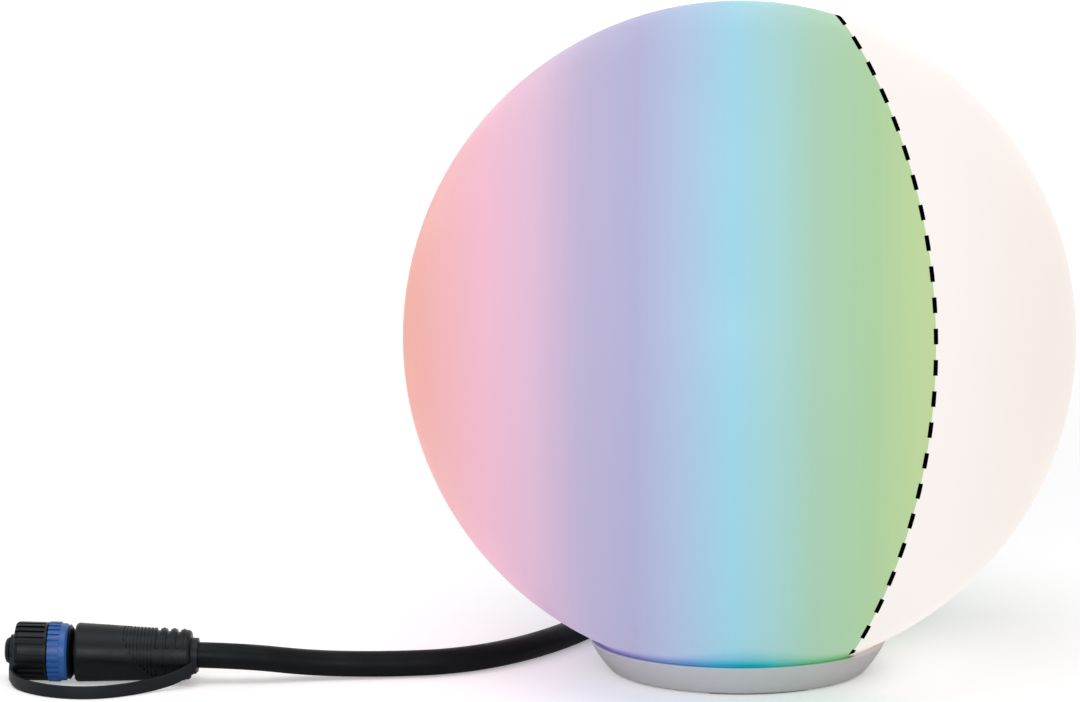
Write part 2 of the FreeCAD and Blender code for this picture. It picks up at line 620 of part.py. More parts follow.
def power_inductor():
    place = polar(COMPONENT_CIRCLE, OUTLET_DEG + 30, BOARD_TOP_Z)
    core = Part.makeCylinder(INDUCTOR_RADIUS, INDUCTOR_HEIGHT, place)
    waist = tube_z(INDUCTOR_RADIUS + 1, INDUCTOR_RADIUS - 0.8, 1.2, INDUCTOR_HEIGHT - 1.2)
    waist.translate(place)
    return core.cut(waist)


def filter_capacitors():
    cans = []
    for degrees in (OUTLET_DEG + 150, OUTLET_DEG + 185):
        can = Part.makeCylinder(CAPACITOR_RADIUS, CAPACITOR_HEIGHT, polar(COMPONENT_CIRCLE, degrees, BOARD_TOP_Z))
        cans.append(can.makeFillet(0.5, [edge_at(can, BOARD_TOP_Z + CAPACITOR_HEIGHT)]))
    return group(cans)


def radio_module():
    long, wide, high = RADIO_SIZE
    plate = Part.makeBox(long, wide, high * 0.3, Vector(-long / 2, -wide / 2, 0))
    can = Part.makeBox(long * 0.65, wide * 0.86, high * 0.7, Vector(-long / 2 + 0.5, -wide * 0.43, high * 0.3))
    body = plate.fuse(can).removeSplitter()
    body.translate(Vector(COMPONENT_CIRCLE, 0, BOARD_TOP_Z))
    return turned(body, OUTLET_DEG - 60)


def terminal_block():
    end = TERMINAL_FACE_RADIUS
    block = outlet_block(end - TERMINAL_DEPTH, end, TERMINAL_WIDTH, HOUSING_FLOOR_Z + 0.3, BOARD_Z)
    tools = []
    for side in core_sides():
        tools.append(outlet_rod(CORE_DIAMETER / 2 + CORE_CLEARANCE, end - CORE_BITE, end + 1, side))
    return cut_all(block, tools)


def heat_spreader():
    plate = Part.makeCylinder(HOUSING_RADIUS, SPREADER_THICKNESS, Vector(0, 0, HOUSING_TOP_Z))
    return cut_all(plate, upper_holes())


def upper_holes():
    tools = []
    for degrees in COLUMN_DEGREES:
        tools.append(hole_at(polar(FIXING_CIRCLE, degrees), 0, LED_BOARD_TOP_Z + 1, SCREW_RADIUS + SCREW_CLEARANCE))
    for place in lead_places():
        tools.append(hole_at(place, 0, LED_BOARD_TOP_Z + 1, LED_LEAD_DIAMETER / 2 + CORE_CLEARANCE))
    return tools


def led_board():
    plate = Part.makeCylinder(LED_BOARD_RADIUS, LED_BOARD_THICKNESS, Vector(0, 0, SPREADER_TOP_Z))
    return cut_all(plate, upper_holes())


def led_chips():
    chips = []
    for i in range(LED_COUNT):
        place = polar(LED_CIRCLE, OUTLET_DEG + 360.0 * i / LED_COUNT)
        chip = Part.makeBox(LED_SIZE, LED_SIZE, LED_HEIGHT, Vector(-LED_SIZE / 2, -LED_SIZE / 2, 0))
        well = Part.makeCylinder(LED_WELL_RADIUS, LED_WELL_DEPTH, Vector(0, 0, LED_HEIGHT - LED_WELL_DEPTH))
        chip = chip.cut(well)
        chip.translate(place + Vector(0, 0, LED_BOARD_TOP_Z))
        chips.append(chip)
    return group(chips)


def led_leads():
    leads = []
    for place in lead_places():
        low = place + Vector(0, 0, BOARD_TOP_Z)
        leads.append(Part.makeCylinder(LED_LEAD_DIAMETER / 2, LED_BOARD_TOP_Z + 0.4 - BOARD_TOP_Z, low))
    return group(leads)


def lens_seal():
    return tube_z(HOUSING_RADIUS, HOUSING_RADIUS - DOME_RIM_WIDTH, SPREADER_TOP_Z,
                  SPREADER_TOP_Z + LENS_SEAL_THICKNESS)


def dome_lens():
    low = SPREADER_TOP_Z + LENS_SEAL_THICKNESS
    base = HOUSING_RADIUS - 0.2
    outer_radius = (base ** 2 + DOME_HEIGHT ** 2) / (2 * DOME_HEIGHT)
    centre = Vector(0, 0, low + DOME_HEIGHT - outer_radius)
    outer = Part.makeSphere(outer_radius, centre)
    inner = Part.makeSphere(outer_radius - DOME_WALL, centre)
    slab = Part.makeCylinder(base + 5, DOME_HEIGHT + 5, Vector(0, 0, low))
    rim = tube_z(base, base - DOME_RIM_WIDTH + 0.2, low, low + 1.2)
    return outer.cut(inner).common(slab).fuse(rim.common(outer)).removeSplitter()


# ---- free cable ---------------------------------------------------------------------------
def cable_path():
    """Straight runs joined by tangent arcs, each as large as its two runs allow."""
    points = [Vector(*p) for p in CABLE_ROUTE]
    edges = []
    start = points[0]
    for before, corner, after in zip(points, points[1:], points[2:]):
        inward = (before - corner).normalize()
        onward = (after - corner).normalize()
        shorter = min((corner - before).Length, (after - corner).Length)
        reach = 0.45 * shorter
        half_turn = (math.pi - inward.getAngle(onward)) / 2
        radius = reach / math.tan(half_turn)
        print("cable arc radius %.1f mm" % radius)
        first = corner + inward * reach
        last = corner + onward * reach
        middle = corner + (inward + onward).normalize() * (radius / math.cos(half_turn) - radius)
        edges.append(Part.LineSegment(start, first).toShape())
        edges.append(Part.Arc(first, middle, last).toShape())
        start = last
    edges.append(Part.LineSegment(start, points[-1]).toShape())
    return Part.Wire(edges)


def supply_cable():
    path = cable_path()
    points = [Vector(*p) for p in CABLE_ROUTE]
    circle = Part.makeCircle(CABLE_RADIUS, points[0], points[1] - points[0])
    tube = path.makePipeShell([Part.Wire(circle)], True, False)
    section = math.pi * CABLE_RADIUS ** 2
    print("cable length %.1f mm, volume / (section x length) %.4f" %
          (path.Length, tube.Volume / (section * path.Length)))
    return tube


# ---- plug ---------------------------------------------------------------------------------
def body_radius(along):
    return BODY_REAR_RADIUS + (BODY_FRONT_RADIUS - BODY_REAR_RADIUS) * along / BODY_LENGTH


def rounded_corner(radius, reach, end, way):
    """Outline points from the side to the end face; way is 1 at a front end and -1 at a rear end."""
    shares = [(0, 1), (0.13, 0.5), (0.5, 0.13), (1, 0)]
    return [(radius - inward * reach, end - way * back * reach) for inward, back in shares]


def groove(start, width, depth, radius):
    return tube_x(radius + 1, radius - depth, start, start + width)


def grip_side():
    """Block behind the slanted plane where the grip's grooves end."""
    middle, swing, angle = GRIP_SLANT
    slope = swing / BODY_FRONT_RADIUS
    normal = Vector(1, -slope * math.sin(math.radians(angle)), -slope * math.cos(math.radians(angle)))
    size = 3 * BODY_LENGTH
    block = Part.makeBox(size, size, size, Vector(-size, -size / 2, -size / 2))
    block.Placement = FreeCAD.Placement(Vector(middle, 0, 0), FreeCAD.Rotation(ALONG, normal))
    return block


def plug_body():
    rear = rounded_corner(body_radius(BODY_EDGE), BODY_EDGE, 0, -1)
    front = rounded_corner(body_radius(BODY_LENGTH - BODY_EDGE), BODY_EDGE, BODY_LENGTH, 1)
    body = revolve([(0, 0)] + rear[::-1] + front + [
        (NOSE_RADIUS, BODY_LENGTH),
        (NOSE_RADIUS, NOSE_END - 0.4),
        (NOSE_RADIUS - 0.4, NOSE_END),
        (0, NOSE_END),
    ], ALONG)
    rings = []
    for i in range(RELIEF_RINGS):
        middle = RELIEF_START + i * RELIEF_PITCH
        outer = body_radius(middle) + RELIEF_RING_HEIGHT
        start = middle - RELIEF_RING_WIDTH / 2
        rings.append(tube_x(outer, outer - 2 * RELIEF_RING_HEIGHT, start, start + RELIEF_RING_WIDTH))
    body = fuse_all(body, rings)
    tools = []
    for i in range(GRIP_GROOVES):
        start = GRIP_START + i * GRIP_PITCH
        cutter = groove(start, GRIP_GROOVE, GRIP_GROOVE_DEPTH, body_radius(start))
        tools.append(cutter.common(grip_side()))
    for i in range(RELIEF_RINGS):
        start = RELIEF_START + (i + 0.5) * RELIEF_PITCH - RELIEF_SLOT / 2
        slot = groove(start, RELIEF_SLOT, RELIEF_SLOT_DEPTH, body_radius(start))
        span = 4 * BODY_FRONT_RADIUS
        corner = Vector(start - 1, -span / 2, -RELIEF_BRIDGE / 2)
        tools.append(slot.cut(Part.makeBox(RELIEF_SLOT + 2, span, RELIEF_BRIDGE, corner)))
    bore_start = Vector(carrier_start(), 0, 0)
    tools.append(Part.makeCylinder(NOSE_BORE, NOSE_END - carrier_start() + 1, bore_start, ALONG))
    tools.extend(plug_core_rods())
    groove_length = NOSE_SEAL_LENGTH + 2 * NOSE_SEAL_SIDE_GAP
    tools.append(groove(seal_end() - groove_length, groove_length, NOSE_SEAL_DEPTH, NOSE_RADIUS))
    return cut_all(body, tools)


def carrier_start():
    return BODY_LENGTH - CARRIER_REACH


def plug_core_rods():
    rods = []
    for side in core_sides():
        foot = Vector(CORE_ENTRY, side, 0)
        rods.append(Part.makeCylinder(CORE_DIAMETER / 2, carrier_start() - CORE_ENTRY, foot, ALONG))
    return rods


def plug_leads():
    return group(plug_core_rods())


def pin_places():
    places = []
    for i in range(PIN_COUNT):
        angle = math.radians(90.0 + 360.0 * i / PIN_COUNT)
        places.append((PIN_CIRCLE * math.cos(angle), PIN_CIRCLE * math.sin(angle)))
    return places


def contact_carrier():
    core = Part.makeCylinder(NOSE_BORE, SOCKET_START - carrier_start(), Vector(carrier_start(), 0, 0), ALONG)
    key_foot = Vector(SOCKET_START - 0.5, -KEY_WIDTH / 2, -NOSE_BORE + 0.1)
    key = Part.makeBox(SOCKET_DEPTH - PIN_RECESS, KEY_WIDTH, KEY_HEIGHT, key_foot)
    body = core.fuse(key.common(inside_nose())).removeSplitter()
    holes = []
    for y, z in pin_places():
        foot = Vector(SOCKET_START - PIN_BITE, y, z)
        holes.append(Part.makeCylinder(PIN_RADIUS, PIN_BITE + 1, foot, ALONG))
    return cut_all(body, holes)


def inside_nose():
    return Part.makeCylinder(NOSE_BORE - 0.05, NOSE_END, Vector(0, 0, 0), ALONG)


def contact_pins():
    tip = NOSE_END - PIN_RECESS
    pins = []
    for y, z in pin_places():
        foot = Vector(SOCKET_START - PIN_BITE, y, z)
        shank = Part.makeCylinder(PIN_RADIUS, tip - PIN_RADIUS - foot.x, foot, ALONG)
        point = Part.makeSphere(PIN_RADIUS, Vector(tip - PIN_RADIUS, y, z))
        pins.append(shank.fuse(point).removeSplitter())
    return group(pins)


def seal_end():
    return NOSE_END - NOSE_SEAL_INSET


def nose_seal():
    end = seal_end() - NOSE_SEAL_SIDE_GAP
    return tube_x(NOSE_RADIUS + NOSE_SEAL_PROUD, NOSE_RADIUS - NOSE_SEAL_DEPTH, end - NOSE_SEAL_LENGTH, end)


def backing_collar():
    """Ring with a domed rear face, an arc in its outline."""
    rear = Vector(COLLAR_START, 0, NOSE_RADIUS)
    side = Vector(COLLAR_END - 0.2, 0, COLLAR_OUTER)
    middle = Vector(COLLAR_START + 0.35 * COLLAR_LENGTH, 0, NOSE_RADIUS + 0.6 * (COLLAR_OUTER - NOSE_RADIUS))
    corners = [side, Vector(COLLAR_END, 0, COLLAR_OUTER - 0.2), Vector(COLLAR_END, 0, NOSE_RADIUS), rear]
    outline = Part.Wire([Part.Arc(rear, middle, side).toShape()] + Part.makePolygon(corners).Edges)
    return Part.Face(outline).revolve(Vector(0, 0, 0), ALONG, 360)


def ribs_round(count, radius, start, end, width):
    """Straight ribs along the axis, standing on a round wall."""
    ribs = []
    for i in range(count):
        rib = Part.makeBox(end - start, width, RIB_HEIGHT + 0.6, Vector(start, -width / 2, radius - RIB_HEIGHT - 0.6))
        trim = Part.makeCylinder(radius, end - start, Vector(start, 0, 0), ALONG)
        ribs.append(turned(rib.common(trim), 360.0 * i / count, axis=ALONG))
    return ribs


def lock_ring():
    low = RING_RADIUS - RIB_HEIGHT
    rib_start = RING_END - RING_RIB_LENGTH
    web_end = RING_START + RING_WEB
    ring = revolve([
        (NOSE_RADIUS + RUNNING_GAP, RING_START),
        (RING_SMOOTH_RADIUS - RING_EDGE, RING_START),
        (RING_SMOOTH_RADIUS, RING_START + RING_EDGE),
        (RING_SMOOTH_RADIUS, rib_start),
        (low, rib_start),
        (low, RING_END),
        (RING_BORE, RING_END),
        (RING_BORE, web_end),
        (NOSE_RADIUS + RUNNING_GAP, web_end),
    ], ALONG)
    ribs = ribs_round(RING_RIBS, RING_RADIUS, rib_start - 0.2, RING_END, 1.0)
    return fuse_all(ring, ribs)


def screw_cap():
    low = CAP_RADIUS - RIB_HEIGHT
    skirt = RING_BORE - RUNNING_GAP
    bore = NOSE_RADIUS + 0.35
    skirt_start = CAP_START - CAP_SKIRT_LENGTH
    cap = revolve([
        (bore, skirt_start),
        (skirt, skirt_start),
        (skirt, CAP_START),
        (CAP_RADIUS - 0.3, CAP_START),
        (CAP_RADIUS, CAP_START + 0.3),
        (CAP_RADIUS, CAP_START + 0.9),
        (low, CAP_START + 0.9),
    ] + rounded_corner(low, CAP_ROUNDING, CAP_END, 1) + [
        (STEM_RADIUS, CAP_END),
        (STEM_RADIUS, STEM_END),
        (KNOB_RADIUS - 0.2, STEM_END),
        (KNOB_RADIUS, STEM_END + 0.3),
        (KNOB_RADIUS - 0.5, STEM_END + KNOB_LENGTH - 0.4),
        (KNOB_RADIUS - 1.5, STEM_END + KNOB_LENGTH),
        (0, STEM_END + KNOB_LENGTH),
        (0, CAP_BORE_END),
        (bore, CAP_BORE_END),
    ], ALONG)
    corner = rounded_corner(CAP_RADIUS, CAP_ROUNDING, CAP_END, 1)
    trim = revolve([(0, CAP_START), (CAP_RADIUS, CAP_START)] + corner + [(0, CAP_END)], ALONG)
    ribs = ribs_round(CAP_RIBS, CAP_RADIUS, CAP_START + 0.6, CAP_END - 0.3, 1.15)
    return fuse_all(cap, [rib.common(trim) for rib in ribs])


def cap_liner():
    radius = NOSE_RADIUS + 0.3
    return Part.makeCylinder(radius, LINER_THICKNESS, Vector(CAP_BORE_END - LINER_THICKNESS, 0, 0), ALONG)


# ---- tether -------------------------------------------------------------------------------
def plug_point(along, y, z):
    return in_plug(Part.Vertex(along, y, z)).Point


def eyelet_start():
    return CAP_END + (STEM_LENGTH - TETHER_THICKNESS) / 2


def strap_points():
    """Places along the strap, its two ends included, each with its way forward."""
    first = plug_point(eyelet_start() + TETHER_THICKNESS / 2, TAB_REACH + TETHER_END_GAP, -TAB_DROP)
    last = plug_point(-TETHER_COLLAR_LENGTH / 2, TAB_REACH + TETHER_END_GAP, -TAB_COLLAR_DROP)
    return [first] + [Vector(*p) for p in STRAP_ROUTE] + [last]


def strap_ways(points):
    outward = plug_point(0, 1, 0) - plug_point(0, 0, 0)
    inner = [after - before for before, after in zip(points, points[2:])]
    return [outward] + inner + [outward * -1]


def upright_section(foot, way):
    """Upright rectangle across the strap."""
    level = Vector(way.x, way.y, 0).normalize()
    across = Vector(-level.y, level.x, 0) * (TETHER_THICKNESS / 2)
    top = Vector(0, 0, TETHER_HEIGHT)
    corners = [foot - across, foot + across, foot + across + top, foot - across + top]
    return Part.makePolygon(corners + corners[:1])


def tether_strap():
    points = strap_points()
    sections = [upright_section(p, w) for p, w in zip(points, strap_ways(points))]
    return Part.makeLoft(sections, True, False)


def tether_ring(start, length, outer, bore, drop):
    """Flat ring round the plug's axis, with a tab that reaches down to one end of the strap."""
    corners = [
        Vector(start, 0, -outer * 0.9),
        Vector(start, TAB_REACH, -drop),
        Vector(start, TAB_REACH, TETHER_HEIGHT - drop),
        Vector(start, outer * 0.9, 0),
        Vector(start, 0, 0),
    ]
    tab = Part.Face(Part.makePolygon(corners + corners[:1])).extrude(Vector(length, 0, 0))
    ring = Part.makeCylinder(outer, length, Vector(start, 0, 0), ALONG).fuse(tab).removeSplitter()
    return in_plug(ring.cut(Part.makeCylinder(bore, length, Vector(start, 0, 0), ALONG)))


def tether_eyelet():
    return tether_ring(eyelet_start(), TETHER_THICKNESS, EYELET_RADIUS, STEM_RADIUS + RUNNING_GAP, TAB_DROP)


def tether_collar():
    bore = CABLE_RADIUS + TETHER_COLLAR_CLEARANCE
    return tether_ring(-TETHER_COLLAR_LENGTH, TETHER_COLLAR_LENGTH, bore + TETHER_COLLAR_WALL, bore,
                       TAB_COLLAR_DROP)


# ---- all pieces ---------------------------------------------------------------------------
def all_parts():
    return {
        "globe_shell": globe_shell(),
        "globe_seal": globe_seal(),
        "base_cup": base_cup(),
        "foot_pads": foot_pads(),
        "cable_boot": cable_boot(),
        "cable_tail": cable_tail(),
        "core_leads": core_leads(),
        "cord_clamp": cord_clamp(),
        "clamp_screws": clamp_screws(),
        "module_housing": module_housing(),
        "housing_screws": housing_screws(),
        "controller_board": controller_board(),
        "board_screws": board_screws(),
        "power_inductor": power_inductor(),
        "filter_capacitors": filter_capacitors(),
        "radio_module": radio_module(),
        "terminal_block": terminal_block(),
        "heat_spreader": heat_spreader(),
        "led_board": led_board(),
        "led_chips": led_chips(),
        "led_board_screws": led_board_screws(),
        "led_leads": led_leads(),
        "lens_seal": lens_seal(),
        "dome_lens": dome_lens(),
        "supply_cable": supply_cable(),
        "plug_body": in_plug(plug_body()),
        "plug_leads": in_plug(plug_leads()),
        "contact_carrier": in_plug(contact_carrier()),
        "contact_pins": in_plug(contact_pins()),
        "nose_seal": in_plug(nose_seal()),
        "backing_collar": in_plug(backing_collar()),
        "lock_ring": in_plug(lock_ring()),
        "screw_cap": in_plug(screw_cap()),
        "cap_liner": in_plug(cap_liner()),
        "tether_collar": tether_collar(),
        "tether_strap": tether_strap(),
        "tether_eyelet": tether_eyelet(),
    }


os.makedirs("parts", exist_ok=True)
for name, shape in all_parts().items():
    box = shape.BoundBox
    print("%-18s solids %d valid %s z %.2f..%.2f" %
          (name, len(shape.Solids), shape.isValid(), box.ZMin, box.ZMax))
    shape.exportStep("parts/" + name + ".step")
tilt_deg = math.degrees(PLUG_TILT)
print("plug tilt %.3f deg, rear face height %.3f" % (tilt_deg, PLUG_PLACE_Z))
print("plug ends", plug_point(0, 0, 0), plug_point(CAP_END, 0, 0), plug_point(STEM_END, 0, 0))
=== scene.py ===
"""Looks of the garden globe light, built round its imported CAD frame. Metres, +Z up."""

import json
import math

import bmesh
import bpy
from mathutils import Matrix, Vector


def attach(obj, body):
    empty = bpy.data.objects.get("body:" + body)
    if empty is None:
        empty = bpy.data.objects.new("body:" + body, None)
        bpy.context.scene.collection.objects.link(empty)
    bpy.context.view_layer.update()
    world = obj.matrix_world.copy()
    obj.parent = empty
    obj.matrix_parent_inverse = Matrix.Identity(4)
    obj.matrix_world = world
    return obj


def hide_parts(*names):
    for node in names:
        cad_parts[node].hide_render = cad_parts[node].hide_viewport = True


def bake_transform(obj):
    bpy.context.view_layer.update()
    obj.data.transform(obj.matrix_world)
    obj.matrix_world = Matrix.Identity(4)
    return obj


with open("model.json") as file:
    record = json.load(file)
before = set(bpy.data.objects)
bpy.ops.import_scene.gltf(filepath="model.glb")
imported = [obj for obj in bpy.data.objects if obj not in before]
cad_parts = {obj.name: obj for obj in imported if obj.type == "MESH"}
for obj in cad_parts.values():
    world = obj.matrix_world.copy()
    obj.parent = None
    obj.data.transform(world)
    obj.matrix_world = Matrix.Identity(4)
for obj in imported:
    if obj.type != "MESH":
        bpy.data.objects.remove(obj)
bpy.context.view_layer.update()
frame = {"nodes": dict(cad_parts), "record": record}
nodes = frame["nodes"]

MM = 0.001

# ---- camera, fitted to the outlines of the globe, the rim and the foot --------------------
CAMERA_PLACE = (0.0, -1.97257, 0.43059)
CAMERA_TURN = (80.38, 0.0, 1.72)
CAMERA_LENS = 224.07
SENSOR_WIDTH = 36.0
NEAREST_SEEN = 0.05
FARTHEST_SEEN = 60.0


def make_camera():
    data = bpy.data.cameras.new("camera")
    data.lens = CAMERA_LENS
    data.sensor_width = SENSOR_WIDTH
    data.clip_start = NEAREST_SEEN
    data.clip_end = FARTHEST_SEEN
    camera = bpy.data.objects.new("camera", data)
    camera.location = CAMERA_PLACE
    camera.rotation_euler = [math.radians(a) for a in CAMERA_TURN]
    bpy.context.scene.collection.objects.link(camera)
    bpy.context.scene.camera = camera


make_camera()

# ---- routes, in millimetres ---------------------------------------------------------------
CABLE_DIAMETER = 7.7
CABLE_ROUTE = [                # centre line, from the outlet in the cup to the plug
    (38.8, 53.4, 5.6),
    (47.9, 65.9, 5.6),
    (51.7, 80.9, 4.8),
    (49.6, 96.3, 4.05),
    (41.9, 109.8, 3.95),
    (29.8, 119.4, 3.95),
    (14.9, 123.8, 3.95),
    (-0.5, 122.3, 3.95),
    (-14.3, 115.2, 3.95),
    (-24.4, 103.5, 3.95),
    (-32.0, 81.0, 3.95),
    (-40.5, 55.0, 3.95),
    (-51.0, 28.5, 3.95),
    (-66.0, 4.5, 3.95),
    (-84.0, -11.5, 3.95),
    (-106.0, -16.2, 3.95),
    (-127.0, -19.0, 4.8),
    (-145.9, -25.3, 8.17),
    (-161.9, -24.9, 8.38),
]
STRAP_THICKNESS = 1.1
STRAP_HEIGHT = 3.8
STRAP_CORNER = 0.3
STRAP_ROUTE = [                # lower edge, from the eyelet to the collar
    (-215.32, -29.69, 1.39),
    (-213.9, -34.6, 0.3),
    (-210.2, -40.2, 0.1),
    (-204.6, -45.4, 0.1),
    (-197.9, -48.6, 0.1),
    (-190.4, -49.3, 0.1),
    (-183.4, -47.0, 0.1),
    (-176.6, -42.0, 0.1),
    (-170.6, -37.2, 0.5),
    (-164.8, -34.4, 2.0),
    (-161.1, -30.92, 3.86),
]


def nurbs_curve(name, route):
    """Smooth open curve with the route's points as its control points."""
    data = bpy.data.curves.new(name, "CURVE")
    data.dimensions = "3D"
    spline = data.splines.new("NURBS")
    spline.points.add(len(route) - 1)
    for point, place in zip(spline.points, route):
        point.co = (*[c * MM for c in place], 1.0)
    spline.order_u = 3
    spline.use_endpoint_u = True
    spline.resolution_u = 12
    curve = bpy.data.objects.new(name, data)
    bpy.context.scene.collection.objects.link(curve)
    return curve


def spline_points(route):
    """Points of the route's smooth line."""
    curve = nurbs_curve("guide", route)
    bpy.context.view_layer.update()
    mesh = bpy.data.meshes.new_from_object(curve)
    points = [v.co.copy() for v in mesh.vertices]
    bpy.data.meshes.remove(mesh)
    bpy.data.objects.remove(curve)
    return points


# ---- mesh helpers -------------------------------------------------------------------------
def mesh_piece(name, vertices, faces, smooth_degrees=40.0):
    """A closed mesh with its faces turned outward and its edges sharp above an angle."""
    mesh = bpy.data.meshes.new(name)
    mesh.from_pydata(vertices, [], faces)
    work = bmesh.new()
    work.from_mesh(mesh)
    bmesh.ops.recalc_face_normals(work, faces=work.faces)
    for face in work.faces:
        face.smooth = True
    for edge in work.edges:
        edge.smooth = edge.calc_face_angle(0.0) < math.radians(smooth_degrees)
    work.to_mesh(mesh)
    work.free()
    piece = bpy.data.objects.new(name, mesh)
    bpy.context.scene.collection.objects.link(piece)
    return piece


def heading(points, i):
    """Direction of a line of points at one of them."""
    return (points[min(i + 1, len(points) - 1)] - points[max(i - 1, 0)]).normalized()


def swept_faces(rings, sides):
    """Faces between rings of points that follow one another, and over both ends."""
    faces = []
    for i in range(rings - 1):
        for j in range(sides):
            k = (j + 1) % sides
            faces.append((i * sides + j, i * sides + k, (i + 1) * sides + k, (i + 1) * sides + j))
    faces.append(tuple(range(sides)))
    faces.append(tuple(range((rings - 1) * sides, rings * sides)))
    return faces


# ---- cable --------------------------------------------------------------------------------
def make_cable(points, sides=32):
    """Round sheath along the points, its sections turned as little as possible from one to the next."""
    vertices = []
    side = Vector((0, 0, 1))
    for i, point in enumerate(points):
        way = heading(points, i)
        side = (side - way * side.dot(way)).normalized()
        other = way.cross(side)
        for j in range(sides):
            angle = 2 * math.pi * j / sides
            out = side * math.cos(angle) + other * math.sin(angle)
            vertices.append(point + out * (CABLE_DIAMETER / 2 * MM))
    sheath = mesh_piece("supply_cable_sheath", vertices, swept_faces(len(points), sides))
    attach(sheath, "lamp")
    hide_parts("supply_cable")
    return sheath


cable_line = spline_points(CABLE_ROUTE)
cable = make_cable(cable_line)


# ---- tether strap -------------------------------------------------------------------------
def rounded_band(thickness, height, corner, steps=4):
    """Outline of an upright band's section, (across, up) from the middle of its lower edge."""
    outline = []
    high, low = height - corner, corner
    for side, base, start in ((1, high, 0), (-1, high, 90), (-1, low, 180), (1, low, 270)):
        for i in range(steps + 1):
            angle = math.radians(start + 90.0 * i / steps)
            across = side * (thickness / 2 - corner) + corner * math.cos(angle)
            outline.append((across, base + corner * math.sin(angle)))
    return outline


def make_strap():
    """Band that stands on its edge from the cap's eyelet to the collar on the plug."""
    points = spline_points(STRAP_ROUTE)
    outline = rounded_band(STRAP_THICKNESS * MM, STRAP_HEIGHT * MM, STRAP_CORNER * MM)
    vertices = []
    for i, point in enumerate(points):
        way = heading(points, i)
        across = Vector((-way.y, way.x, 0)).normalized()
        for side, up in outline:
            vertices.append(point + across * side + Vector((0, 0, up)))
    faces = swept_faces(len(points), len(outline))
    strap = mesh_piece("tether_strap_band", vertices, faces, smooth_degrees=60.0)
    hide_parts("tether_strap")
    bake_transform(strap)
    return strap


strap = make_strap()


# ---- materials ----------------------------------------------------------------------------
MIX_FIRST, MIX_SECOND, MIX_RESULT = 6, 7, 2    # colour sockets of a Mix node


def paint(red, green, blue):
    """A screen colour, 0 to 255, as the shader's linear colour."""
    linear = []
    for value in (red, green, blue):
        share = value / 255.0
        linear.append(share / 12.92 if share <= 0.04045 else ((share + 0.055) / 1.055) ** 2.4)
    return (*linear, 1.0)


class Look:
    """A node material built round one Principled shader."""

    def __init__(self, name, colour, roughness=0.5, metallic=0.0, specular=0.5):
        self.material = bpy.data.materials.new(name)
        self.material.use_nodes = True
        self.tree = self.material.node_tree
        self.shader = self.tree.nodes["Principled BSDF"]
        self.colour = colour
        self.shader.inputs["Base Color"].default_value = colour
        self.shader.inputs["Roughness"].default_value = roughness
        self.shader.inputs["Metallic"].default_value = metallic
        self.shader.inputs["Specular IOR Level"].default_value = specular
        self.place = self.node("ShaderNodeTexCoord").outputs["Object"]

    def node(self, kind, **settings):
        made = self.tree.nodes.new(kind)
        for name, value in settings.items():
            setattr(made, name, value)
        return made

    def feed(self, socket, value):
        if hasattr(value, "is_linked"):
            self.tree.links.new(value, socket)
        else:
            socket.default_value = value

    def math(self, operation, *values):
        made = self.node("ShaderNodeMath", operation=operation)
        for socket, value in zip(made.inputs, values):
            self.feed(socket, value)
        return made.outputs[0]

    def between(self, value, low, high, out_low=0.0, out_high=1.0):
        """The value's place from low to high, eased and held at both ends."""
        made = self.node("ShaderNodeMapRange", interpolation_type="SMOOTHSTEP")
        self.feed(made.inputs["Value"], value)
        limits = {"From Min": low, "From Max": high, "To Min": out_low, "To Max": out_high}
        for name, limit in limits.items():
            made.inputs[name].default_value = limit
        return made.outputs["Result"]

    def even_share(self, value, low, high):
        """The value's place from low to high, in even steps."""
        made = self.node("ShaderNodeMapRange")
        self.feed(made.inputs["Value"], value)
        made.inputs["From Min"].default_value = low
        made.inputs["From Max"].default_value = high
        return made.outputs["Result"]

    def noise(self, scale, detail=3.0, roughness=0.55, stretch=(1, 1, 1)):
        """Cloudy values round 0.5. A larger stretch packs them closer along that axis."""
        place = self.place
        if stretch != (1, 1, 1):
            mapping = self.node("ShaderNodeMapping")
            mapping.inputs["Scale"].default_value = stretch
            self.feed(mapping.inputs["Vector"], place)
            place = mapping.outputs["Vector"]
        made = self.node("ShaderNodeTexNoise")
        self.feed(made.inputs["Vector"], place)
        made.inputs["Scale"].default_value = scale
        made.inputs["Detail"].default_value = detail
        made.inputs["Roughness"].default_value = roughness
        return made.outputs["Fac"]

    def blend(self, share, first, second):
        """The first colour, and more of the second as the share goes from 0 to 1."""
        made = self.node("ShaderNodeMix", data_type="RGBA")
        self.feed(made.inputs["Factor"], share)
        self.feed(made.inputs[MIX_FIRST], first)
        self.feed(made.inputs[MIX_SECOND], second)
        return made.outputs[MIX_RESULT]

    def tint(self, share, other):
        """Drifts the base colour towards another by a share that varies over the surface."""
        self.feed(self.shader.inputs["Base Color"], self.blend(share, self.colour, other))

    def roughen(self, fac, low, high):
        """Lets the roughness vary from low to high over the surface."""
        self.feed(self.shader.inputs["Roughness"], self.between(fac, 0.3, 0.7, low, high))

    def bump(self, fac, depth):
        """Raises the surface by up to depth metres."""
        made = self.node("ShaderNodeBump")
        made.inputs["Distance"].default_value = depth
        self.feed(made.inputs["Height"], fac)
        self.feed(self.shader.inputs["Normal"], made.outputs["Normal"])


